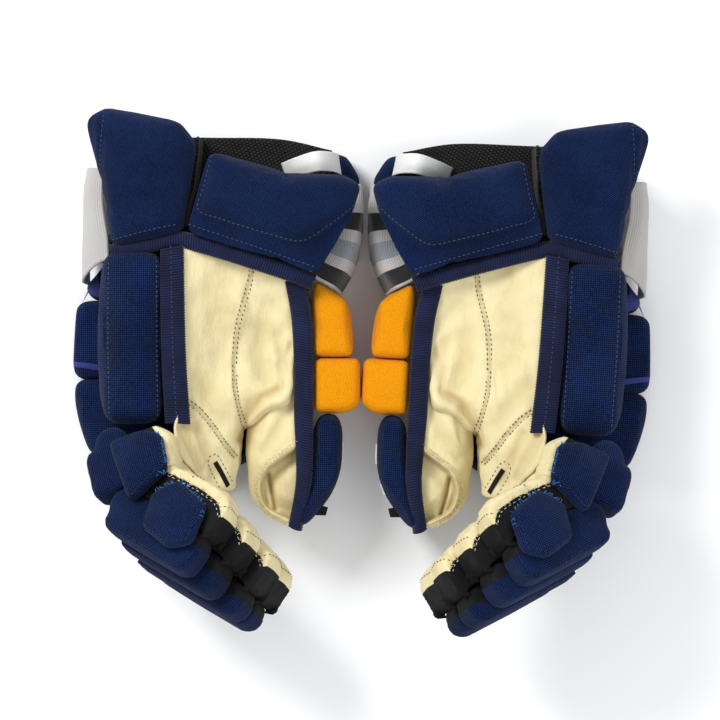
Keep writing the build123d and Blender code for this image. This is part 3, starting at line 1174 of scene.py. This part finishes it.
class GLOVES_OT_thumb_leather(bpy.types.Operator):
    """Makes the cream leather of the thumbs with its open fold"""

    bl_idname = "gloves.thumb_leather"
    bl_label = "Thumb leather"

    def execute(self, context):
        rails = [
            row_of(
                (-60, -2, 44), (-66, -25, 34), (-69, -45, 29), (-69, -62, 28), (-66, -78, 28), (-57, -90, 28),
                (-47, -97, 34)),
            row_of(
                (-60, -4, 46), (-68, -25, 46), (-71, -45, 42), (-71, -62, 40), (-69, -77, 39), (-60, -90, 39),
                (-48, -97, 42)),
            row_of(
                (-54, 2, 49), (-59, -25, 52), (-62, -48, 53.5), (-63, -64, 53), (-60, -78, 52), (-54, -89, 51),
                (-47, -96, 49)),
            row_of(
                (-46, 6, 49), (-49, -25, 53), (-50, -48, 54), (-50, -64, 53.5), (-49, -78, 53), (-48, -89, 52),
                (-46, -96, 50)),
            row_of(
                (-38, 8, 49), (-38.5, -25, 53), (-38.5, -48, 54), (-38.5, -64, 54), (-39, -78, 53), (-41, -89, 52),
                (-44, -96, 50)),
        ]
        thumb = Patch(rails, 110, 56)
        lip = plan(
            (-38.7, -47.8), (-45, -51.5), (-50.1, -55), (-57.3, -60.2), (-61, -65.5), (-63.3, -71), (-63.5, -76),
            (-62.4, -82), (-60.0, -86.5), (-56.5, -89.5), (-52.2, -91.5), (-44.3, -94.5))
        opening = lip + plan((-30, -96), (-30, -46))
        slit = plan((-57.9, -65.3), (-56.3, -74), (-53.2, -88))
        crumple(thumb, 0.0011, 60, 3)
        side_fold = plan((-44, -24), (-52, -38), (-62, -52))
        dent(thumb, [(side_fold, 0.004, 1.0), (plan((-60, -24), (-64, -40)), 0.003, 0.6)], 0.0020)
        for vert in thumb.sheet.verts:
            upper = smooth_step((vert.co.z - at(0, 0, 44).z) / 0.006)
            vert.co.z += upper * open_fold(vert.co, lip, opening, slit)
        inner_lip = plan(
            (-40, -50.5), (-49.5, -57), (-56.3, -62), (-59.4, -67), (-61.3, -73), (-60.5, -80), (-58.0, -85.5),
            (-51.5, -89.5), (-44, -92.5))
        under_palm = plan((-46, -18), (-58, -22), (-66, -34), (-71, -44))
        shade = [
            (slit, 0.0010, 1.25), (inner_lip, 0.0016, 0.75), (under_palm, 0.0035, 0.95), (side_fold, 0.004, 0.35)]
        mesh = thumb.mesh(LEATHER, shade)
        follow = ("hands", "left_thumb", *THUMB_BEND)
        pair("left_thumb_leather", mesh, "leather", follow)
        course = laid_line(lip, 200, surface_of(mesh))
        seams = bmesh.new()
        for shift in (-0.0010, -0.0030):
            run_of_stitches(seams, beside(course, shift))
        pair("left_thumb_seams", finished(seams, "seams"), "thread_cream", follow)
        return {"FINISHED"}


# a finger sleeve's section: shares of its half width and of its height
SECTION = (
    (-1.0, 0.0), (-1.0, 0.4), (-0.99, 0.82), (-0.84, 0.98), (0.0, 1.05), (0.84, 0.98), (0.99, 0.82), (1.0, 0.4),
    (1.0, 0.0))
SLEEVE_HALF = 10 * MM
# heights of a sleeve's back edge and of its palm side over the middle of its roll
SLEEVE_LOW = 11 * MM
SLEEVE_HIGH = 37.5 * MM
# shares of the sleeve's width between which it is cream leather, and where its tip turns black
CREAM = (0.30, 0.70)
BLACK_FROM = 0.80
CREASES = (0.21, 0.33, 0.50, 0.68)
# the rounded end of a sleeve in millimetres: ahead of the tip's end, lower edge, top, and the share of its width
SLEEVE_END = (
    (-11, 11, 37, 1.0), (-4, 9, 34.5, 1.01), (-0.6, 8, 28.5, 1.0), (0.2, 8, 19, 0.97), (-1, 8, 12, 0.93),
    (-6, 6, 8, 0.85))


def sleeve_rails(stations, row):
    """Rails of a finger sleeve: stations are (place, palm direction, back height, palm height, width share)."""
    return [
        [place + row * side * SLEEVE_HALF * width + palm * (low + (high - low) * share)
         for place, palm, low, high, width in stations]
        for side, share in SECTION
    ]


def sleeve_finish(along, across, black_from):
    """0 for the cream leather of a sleeve, 1 for its black sides and tip."""
    return 1 if along > black_from or not CREAM[0] <= across <= CREAM[1] else 0


def crease(along, across, number):
    """How deep the finger's palm is creased."""
    palm = smooth_step((0.22 - abs(across - 0.5)) / 0.08)
    return 0.0009 * palm * sum(
        bell(along - line - 0.012 * math.sin(across * 11 + number * 2 + line * 40), 0.011) for line in CREASES)


class GLOVES_OT_fingers(bpy.types.Operator):
    """Makes the finger sleeves: cream palms, black stretch sides and tips"""

    bl_idname = "gloves.fingers"
    bl_label = "Finger sleeves"

    def execute(self, context):
        for number, finger in enumerate(FINGERS):
            self.sleeve(number, f"left_{finger}", finger)
        return {"FINISHED"}

    def sleeve(self, number, name, finger):
        """Makes one finger's lower and upper sleeve with their seams and ragged edges."""
        knuckle, middle = joint_point(f"{name}_knuckle"), joint_point(f"{name}_middle")
        base_along, row, base_palm = segment_axes(finger, "base")
        tip_along, _, tip_palm = segment_axes(finger, "tip")
        base_length = (middle - knuckle).length
        tip_length = max((v.co - middle).dot(tip_along) for v in frame["nodes"][f"{name}_tip_sleeve"].data.vertices)
        low, high = SLEEVE_LOW, SLEEVE_HIGH
        split = base_length * 0.52
        start = [
            (knuckle + base_along * 2.5 * MM, base_palm, low, high - 4 * MM, 0.96),
            (knuckle + base_along * 9 * MM, base_palm, low, high, 1.0),
            (knuckle + base_along * split * 0.6, base_palm, low, high + 0.8 * MM, 1.0),
            (knuckle + base_along * (split + 1.5 * MM), base_palm, low, high, 1.0),
        ]
        rest = [
            (knuckle + base_along * (split - 1.5 * MM), base_palm, low, high - 0.4 * MM, 0.985),
            (knuckle + base_along * (base_length - 13 * MM), base_palm, low, high - 1 * MM, 1.0),
            (middle, (base_palm + tip_palm).normalized(), low * 0.9, high - 2 * MM, 0.99),
            (middle + tip_along * 17 * MM, tip_palm, low, high - 1 * MM, 1.0),
            (middle + tip_along * tip_length * 0.62, tip_palm, low, high + 0.6 * MM, 1.0),
        ] + [
            (middle + tip_along * (tip_length + ahead * MM), tip_palm, edge * MM, top * MM, width)
            for ahead, edge, top, width in SLEEVE_END
        ]
        lower = Patch(sleeve_rails(start, row), 14, 40, base_palm)
        crumple(lower, 0.0016, 90, number + 4)
        lower.paint(lambda along, across: sleeve_finish(along, across, 1.0))
        pair(f"{name}_lower_sleeve", lower.mesh(SLEEVE), "leather stretch",
             ("hands", f"{name}_base", knuckle - base_along * 5 * MM, knuckle + base_along * 12 * MM),
             [f"{name}_base_sleeve"])
        lower.sheet.free()
        upper = Patch(sleeve_rails(rest, row), 56, 40, base_palm)
        crumple(upper, 0.0014, 110, number + 8)
        upper.lift(lambda along, across, place: -crease(along, across, number))
        upper.paint(lambda along, across: sleeve_finish(along, across, BLACK_FROM))
        follow = (f"{name}_base", f"{name}_tip", middle - base_along * 8 * MM, middle + tip_along * 8 * MM)
        pair(f"{name}_upper_sleeve", upper.mesh(SLEEVE), "leather stretch", follow, [f"{name}_tip_sleeve"])
        seams, cross_seams, ragged = bmesh.new(), bmesh.new(), bmesh.new()
        for across in (0.27, 0.73):
            run_of_stitches(seams, upper.line(across, 0.02, 0.82), length=2.2 * MM, gap=1.8 * MM)
        for along in (0.37, 0.74):
            course = [upper.grid[column, round(along * upper.rows)] for column in range(13, 28)]
            run_of_stitches(cross_seams, [(vert.co.copy(), vert.normal.copy()) for vert in course], lift=1.2)
        for turn, across in enumerate(CREAM):
            loose_threads(ragged, upper.line(across, 0.05, 0.78), 42, 5 + number * 2 + turn)
        pair(f"{name}_seams", finished(seams, "seams"), "thread_white", follow)
        pair(f"{name}_cross_seams", finished(cross_seams, "seams"), "thread_grey", follow)
        pair(f"{name}_ragged_edge", finished(ragged, "threads"), "thread_cream", follow)
        upper.sheet.free()


# rows of faces to each of a tape's ribs, and the ribs' height
ROWS_PER_RIB = 4
RIB_HEIGHT = 0.6 * MM


def tape(name, follow, nodes, dashes, dash_finish, rails):
    """A ribbed binding tape over its rails, with rows of stitches at shares of its width."""
    ribs = max(3, round(line_length(smooth_line(rails[1], 60)) / size("rib")))
    band = Patch(rails, ribs * ROWS_PER_RIB, 10)
    band.rib(band.length / ribs, RIB_HEIGHT)
    pair(name, band.mesh(TAPE), "tape", follow, nodes)
    seams = bmesh.new()
    for across in dashes:
        run_of_stitches(seams, band.line(across)[::ROWS_PER_RIB], lift=0.9)
    pair(f"{name}_stitches", finished(seams, "stitches"), dash_finish, follow)
    band.sheet.free()


class GLOVES_OT_bindings(bpy.types.Operator):
    """Makes the ribbed bindings of the cuff, the palm edge and the thumb"""

    bl_idname = "gloves.bindings"
    bl_label = "Bindings"

    def execute(self, context):
        tape("left_cuff_binding", "hands", ["left_bindings"], (0.12,), "thread_navy", [
            row_of((-156, 76.5, 66), (-124, 83.5, 67.5), (-109, 84.5, 67.5), (-81, 76.5, 67), (-46, 65, 66.5),
                   (-27, 58.5, 65)),
            row_of((-155, 73.5, 69.2), (-124, 80, 70.2), (-109, 81, 70.2), (-82, 73.2, 69.8), (-47, 61.8, 69),
                   (-28.5, 55.5, 67.5)),
            row_of((-154, 68.5, 68.8), (-124, 74.5, 69.6), (-109, 75.0, 69.4), (-83, 67.8, 69.2), (-48, 56.4, 68.2),
                   (-31, 50.5, 66.5)),
            row_of((-154, 67.3, 66), (-124, 73.4, 66), (-109, 74.0, 66), (-83, 66.8, 66), (-48, 55.4, 65),
                   (-31, 49.4, 63)),
        ])
        tape("left_palm_edge_binding", "hands", (), (0.42,), "thread_shell", [
            row_of((-124, 74, 71), (-124, 40, 73), (-123.2, 5, 73.5), (-121, -34, 73.5)),
            row_of((-118, 75, 73), (-118, 40, 74.4), (-117, 5, 74.6), (-114.5, -34, 75)),
            row_of((-111.5, 76, 72), (-110.6, 40, 73.2), (-109.6, 5, 73.6), (-107, -34.5, 74)),
            row_of((-110, 76, 69.6), (-109.4, 40, 70.4), (-108.4, 5, 70.8), (-105.8, -34.5, 71.4)),
        ])
        thumb = ("hands", "left_thumb", *THUMB_BEND)
        tape("left_thumb_binding", thumb, ["left_thumb_sleeve"], (0.1, 0.72), "thread_navy", [
            row_of((-47, 54, 61), (-43, 30, 54.5), (-41.5, 0, 55), (-41.5, -27, 55.5), (-40.5, -50, 55.5),
                   (-40.5, -72, 55), (-45, -98, 52)),
            row_of((-41, 54, 62), (-37.5, 30, 57.3), (-36.5, 0, 57.6), (-36.5, -27, 58), (-36, -50, 58),
                   (-36, -72, 57.6), (-42, -100, 53.5)),
            row_of((-36, 53, 61), (-32, 30, 57), (-31, 0, 57.2), (-31, -27, 57.4), (-31, -50, 57.4), (-32, -72, 57),
                   (-38.5, -101, 52.5)),
            row_of((-34.6, 52, 56), (-30.6, 30, 52), (-29.8, 0, 52), (-30, -27, 52), (-30, -50, 52), (-31, -72, 51),
                   (-37, -101, 46)),
        ])
        tab = Patch([row_of((-34, -83, 45), (-20.5, -86.5, 45)), row_of((-35, -91, 44), (-22, -91.5, 44))], 6, 6)
        pair("left_thumb_tab", tab.mesh(SLEEVE), "stretch", "left_thumb")
        pad = surface_of(PADS["left_thumb_tip_pad"])
        for number, (begin, end) in enumerate(((-46.5, -59), (-71, -78))):
            points = [at(10, begin + (end - begin) * step / 8, 38) for step in range(9)]
            course = [place for place, _ in laid(points, pad, (-1, 0, 0))]
            pair(f"left_thumb_piping_{number + 1}", piping(course, 0.0010), "thread_white", "left_thumb")
        return {"FINISHED"}


class GLOVES_OT_bands(bpy.types.Operator):
    """Makes the striped knit of the wrists"""

    bl_idname = "gloves.bands"
    bl_label = "Wrist bands"

    def execute(self, context):
        wing = Patch([
            row_of((-17, 113, 30), (-19, 95, 34), (-22, 78, 44), (-33, 60, 49)),
            row_of((-9, 114, 40), (-9, 95, 46), (-14, 75, 50), (-27, 55, 51)),
            row_of((0, 115, 40), (0.4, 96, 46), (-6, 70, 49), (-18, 50, 49)),
            row_of((1.4, 114, 18), (1.4, 95, 24), (-1, 68, 27), (-12, 45, 28)),
        ], 66, 26)
        crumple(wing, 0.0016, 55, 21)
        stripes = ((0.28, 0.44, 1), (0.55, 0.71, 2), (0.82, 0.97, 1))
        wing.paint(lambda along, across: next((kind for low, high, kind in stripes if low <= along <= high), 0))
        pair("left_striped_wing", wing.mesh(LEATHER), "knit knit_black knit_grey", "hands",
             ["left_wrist_band"])
        outer = Patch([
            row_of((-160, 124, 50), (-161, 105, 52), (-158, 85, 56), (-157, 68, 58)),
            row_of((-168, 125, 42), (-170, 105, 46), (-168, 85, 50), (-166, 64, 50)),
            row_of((-171.5, 124, 24), (-173, 105, 28), (-173.5, 85, 30), (-174, 55, 32)),
            row_of((-166, 122, 3), (-168, 105, 3), (-170, 85, 4), (-171, 52, 14)),
        ], 40, 30, (-1, 0, 0.4))
        crumple(outer, 0.0012, 50, 22)
        pair("left_plain_wing", outer.mesh(LEATHER), "knit", "hands", ["left_wrist_band"])
        strip = Patch([
            row_of((-166, 84, 20), (-120, 85, 4), (-60, 85, 4), (-2, 84, 20)),
            row_of((-167, 80, 8), (-120, 80, 1.6), (-60, 80, 1.6), (-1, 80, 8)),
            row_of((-167, 70, 8), (-120, 70, 1.6), (-60, 70, 1.6), (-1, 70, 8)),
            row_of((-166, 66, 20), (-120, 65, 4), (-60, 65, 4), (-2, 66, 20)),
        ], 60, 12, (0, 0, -1))
        pair("left_back_strip", strip.mesh(LEATHER), "knit", "hands", ["left_wrist_band"])
        return {"FINISHED"}


class GLOVES_OT_lining(bpy.types.Operator):
    """Makes the dark lining of the hand and the cuff, and the blank sewn-in label"""

    bl_idname = "gloves.lining"
    bl_label = "Lining and label"

    def execute(self, context):
        floor = Patch([
            row_of((-152, 142, 27), (-150, 100, 27), (-140, 60, 27), (-122, 0, 27), (-119, -52, 27)),
            row_of((-120, 144, 29), (-120, 100, 28), (-115, 60, 27.5), (-105, 0, 27), (-100, -54, 27)),
            row_of((-90, 144, 29), (-85, 100, 28), (-85, 60, 27.5), (-85, 0, 27), (-84, -54, 27)),
            row_of((-50, 143, 29), (-50, 100, 28), (-52, 60, 27.5), (-58, 0, 27), (-66, -48, 27)),
            row_of((-18, 136, 29), (-22, 100, 28), (-30, 62, 27.5), (-49, 0, 27), (-64, -40, 27)),
        ], 60, 40)
        crumple(floor, 0.0022, 30, 31)
        pair("left_lining", floor.mesh(LEATHER), "lining", "hands", ["left_liner"])
        wall = Patch([
            row_of((-100, 144, 54), (-104, 115, 62), (-109, 88, 66)),
            row_of((-99, 143, 40), (-103, 115, 44), (-109, 88, 48)),
            row_of((-98, 142, 27), (-102, 115, 27), (-108, 88, 27)),
        ], 26, 16, (1, 0, 0))
        crumple(wall, 0.0014, 60, 32)
        pair("left_cuff_gusset", wall.mesh(GUSSET), "lining", "hands", ["left_liner"])
        label = Patch([
            row_of((-50, 128, 28.8), (-42, 131, 42), (-29, 135, 50), (-19, 135, 42), (-14, 134, 28.8)),
            row_of((-48, 122, 28.8), (-40, 125, 44), (-28, 128.5, 53), (-18, 128, 44), (-13, 127, 28.8)),
            row_of((-45, 117, 28.8), (-38, 119.5, 42), (-27, 122.5, 52), (-17, 122.5, 43), (-12, 121, 28.8)),
        ], 30, 12)
        pair("left_blank_label", label.mesh(THIN), "label", "hands")
        return {"FINISHED"}


# points to each side of a side pad's outline
EDGE_STEPS = 14


def pad_edge(finger, part, outline, pad, share=0.90):
    """A closed line round a side pad's outer side, at a share of its outline."""
    origin = joint_point(f"left_{finger}_{'knuckle' if part == 'base' else 'middle'}")
    along, row, palm = segment_axes(finger, part)
    corners = [origin + along * a * MM + palm * n * MM for a, n in outline]
    centre = sum(corners, Vector()) / len(corners)
    sides = zip(corners, corners[1:] + corners[:1])
    loop = [a.lerp(b, step / EDGE_STEPS) for a, b in sides for step in range(EDGE_STEPS)]
    inner = [centre + (point - centre) * (share - 0.02) for point in loop]
    return laid([point + row * 0.1 for point in inner], surface_of(PADS[pad]), -row)


# the shares of a side pad's outline between which its cut edge frays
LOOSE_EDGE = {"base": (0.36, 0.66), "tip": (0.02, 0.40)}
SIDE_PADS = {
    "left_pinky_side_pad": ("base", [(5, 2), (7, 26), (15, 37), (39, 35), (52, 6)], "left_pinky_base"),
    "left_pinky_tip_pad": ("tip", [(19, 13), (30, 29), (56, 24), (63, -1), (50, -11), (27, -8)], "left_pinky_tip"),
}


class GLOVES_OT_pad_seams(bpy.types.Operator):
    """Sews the pads: ridges, edge stitching and loose threads"""

    bl_idname = "gloves.pad_seams"
    bl_label = "Pad seams"

    def execute(self, context):
        rows = [
            ("left_cuff_palm_pad", "left_cuff_palm_flap", CUFF_RIDGE, 260),
            ("left_cuff_pinky_pad", "left_cuff_pinky_flap", CUFF_FOLD, 160),
            ("left_cuff_palm_pad", "left_cuff_palm_flap", plan((-106, 89), (-68, 76.5), (-29, 63)), 200),
            ("left_cuff_pinky_pad", "left_cuff_pinky_flap", plan((-153, 80), (-130, 86), (-113, 89.5)), 120),
            ("left_pinky_side_roll", "hands", plan((-156, 65), (-156.5, 20), (-155.5, -29)), 200),
            ("left_pinky_side_roll", "hands", plan((-126.5, 66), (-126.5, 20), (-126, -29)), 200),
        ]
        for number, (pad, body, line, count) in enumerate(rows):
            seams = bmesh.new()
            run_of_stitches(seams, laid_line(line, count, surface_of(PADS[pad])))
            pair(f"left_pad_seam_{number + 1}", finished(seams, "seams"), "thread_shell", body)
        for name, (part, outline, body) in SIDE_PADS.items():
            course = pad_edge("pinky", part, outline, name)
            seams = bmesh.new()
            run_of_stitches(seams, course + course[:1], length=0.0016, gap=0.0012)
            pair(f"{name}_stitches", finished(seams, "seams"), "thread_navy", body)
            edge = pad_edge("pinky", part, outline, name, 1.0)
            ends = round(LOOSE_EDGE[part][0] * len(edge)), round(LOOSE_EDGE[part][1] * len(edge))
            loose = bmesh.new()
            loose_threads(loose, edge[ends[0]:ends[1]], 34, part == "tip")
            pair(f"{name}_loose_threads", finished(loose, "threads"), "thread_fray", body)
        return {"FINISHED"}


class GLOVES_OT_prints(bpy.types.Operator):
    """Makes the plain lighter patches and stripes on the back rolls"""

    bl_idname = "gloves.prints"
    bl_label = "Back patches"

    def execute(self, context):
        shapes = {
            "left_back_patch": ([((-176, 58), (-176, 46)), ((-164, 60), (-160, 46))], 12, 10),
            "left_back_stripe": (
                [((-180, 4.4), (-166, 3.4), (-156, 3.4)), ((-180, 1.6), (-166, 0.4), (-156, 0.4))], 22, 4),
        }
        tree = surface_of(*[PADS[name] for name in PADS if name.startswith("left_back_rolls")])
        for name, (rails, rows, columns) in shapes.items():
            patch = Patch([[at(x, y, 40) for x, y in rail] for rail in rails], rows, columns)
            for vert in patch.sheet.verts:
                place, normal, _, _ = tree.find_nearest(Vector((vert.co.x, vert.co.y, at(0, 0, 20).z)))
                vert.co = place + normal * 0.0007
            bmesh.ops.remove_doubles(patch.sheet, verts=patch.sheet.verts, dist=0.0002)
            bmesh.ops.dissolve_degenerate(patch.sheet, edges=patch.sheet.edges, dist=0.0001)
            pair(name, patch.mesh(PATCH), "print", "hands")
            patch.sheet.free()
        return {"FINISHED"}


def light(name, place, toward, width, power):
    """A soft square studio light."""
    lamp = bpy.data.lights.new(name, "AREA")
    lamp.size = width
    lamp.energy = power
    made = bpy.data.objects.new(name, lamp)
    bpy.context.scene.collection.objects.link(made)
    made.location = place
    made.rotation_euler = (Vector(toward) - Vector(place)).to_track_quat("-Z", "Y").to_euler()


SKY = rgba(0.95, 0.97, 1.0)
SKY_STRENGTH = 0.66
# each light's place, what it points at, its width and its power
LIGHTS = {
    "key": ((-0.9, 0.9, 1.2), (0, 0, 0), 0.6, 24),
    "fill": ((0.9, -0.4, 1.4), (0, 0, 0), 1.2, 9),
    "front": ((0.0, -1.3, 0.8), (0, 0, 0.05), 1.0, 3),
}
# half the floor's width, and how far it lies under the gloves
FLOOR_HALF = 4.0
FLOOR_DROP = 0.2 * MM
# how far over the gloves the camera stands, how wide it sees there, and what it looks at
CAMERA_HEIGHT = 5.0
VIEW_WIDTH = 0.4464
VIEW_CENTRE = at(-0.6, 5.3, 62)


class GLOVES_OT_stage(bpy.types.Operator):
    """Makes the floor, the soft lights and the camera"""

    bl_idname = "gloves.stage"
    bl_label = "Stage"

    def execute(self, context):
        scene = context.scene
        scene.view_settings.view_transform = "Standard"
        world = scene.world or bpy.data.worlds.new("World")
        scene.world = world
        world.use_nodes = True
        sky = world.node_tree.nodes["Background"]
        sky.inputs[0].default_value = SKY
        sky.inputs[1].default_value = SKY_STRENGTH
        ground = bmesh.new()
        bmesh.ops.create_grid(ground, x_segments=2, y_segments=2, size=FLOOR_HALF)
        mesh = bpy.data.meshes.new("floor")
        ground.to_mesh(mesh)
        ground.free()
        floor = bpy.data.objects.new("floor", mesh)
        scene.collection.objects.link(floor)
        floor.location.z = CAD_BOX[0].z - FLOOR_DROP
        made, tree, shader = new_finish("studio_floor", 0.9, 0.0, 0.1)
        shade = blended(tree, cloud(tree, 3.0), rgba(0.97, 0.97, 0.97), rgba(0.95, 0.95, 0.955))
        feed(tree, shader.inputs["Base Color"], shade)
        mesh.materials.append(made)
        for name, settings in LIGHTS.items():
            light(name, *settings)
        lens = bpy.data.cameras.new("camera")
        camera = bpy.data.objects.new("camera", lens)
        scene.collection.objects.link(camera)
        lens.sensor_width = 36
        lens.lens = lens.sensor_width * CAMERA_HEIGHT / VIEW_WIDTH
        camera.location = VIEW_CENTRE + Vector((0, 0, CAMERA_HEIGHT))
        lens.clip_end = 20
        lens.clip_start = 0.05
        scene.camera = camera
        return {"FINISHED"}


OPERATORS = [
    GLOVES_OT_finishes,
    GLOVES_OT_pads,
    GLOVES_OT_palm,
    GLOVES_OT_thumb_leather,
    GLOVES_OT_fingers,
    GLOVES_OT_bindings,
    GLOVES_OT_bands,
    GLOVES_OT_lining,
    GLOVES_OT_pad_seams,
    GLOVES_OT_prints,
    GLOVES_OT_stage,
]


class GLOVES_PT_panel(bpy.types.Panel):
    """Lists the pieces of the gloves in the order they are made"""

    bl_idname = "GLOVES_PT_panel"
    bl_label = "Hockey Gloves"
    bl_space_type = "VIEW_3D"
    bl_region_type = "UI"
    bl_category = "Gloves"

    def draw(self, context):
        for group in (context.scene.glove_colours, context.scene.glove_sizes):
            box = self.layout.box()
            for key in group.bl_rna.properties.keys():
                if key not in ("rna_type", "name"):
                    box.prop(group, key)
        for operator in OPERATORS:
            self.layout.operator(operator.bl_idname)


CLASSES = [GloveColours, GloveSizes, *OPERATORS, GLOVES_PT_panel]


def register():
    """Adds the classes and settings to Blender."""
    for item in CLASSES:
        bpy.utils.register_class(item)
    bpy.types.Scene.glove_colours = PointerProperty(type=GloveColours)
    bpy.types.Scene.glove_sizes = PointerProperty(type=GloveSizes)


def unregister():
    """Removes them again."""
    del bpy.types.Scene.glove_sizes
    del bpy.types.Scene.glove_colours
    for item in reversed(CLASSES):
        bpy.utils.unregister_class(item)


def main():
    """Makes the whole pair."""
    register()
    for operator in OPERATORS:
        group, name = operator.bl_idname.split(".")
        getattr(getattr(bpy.ops, group), name)()


if __name__ == "__main__":
    main()
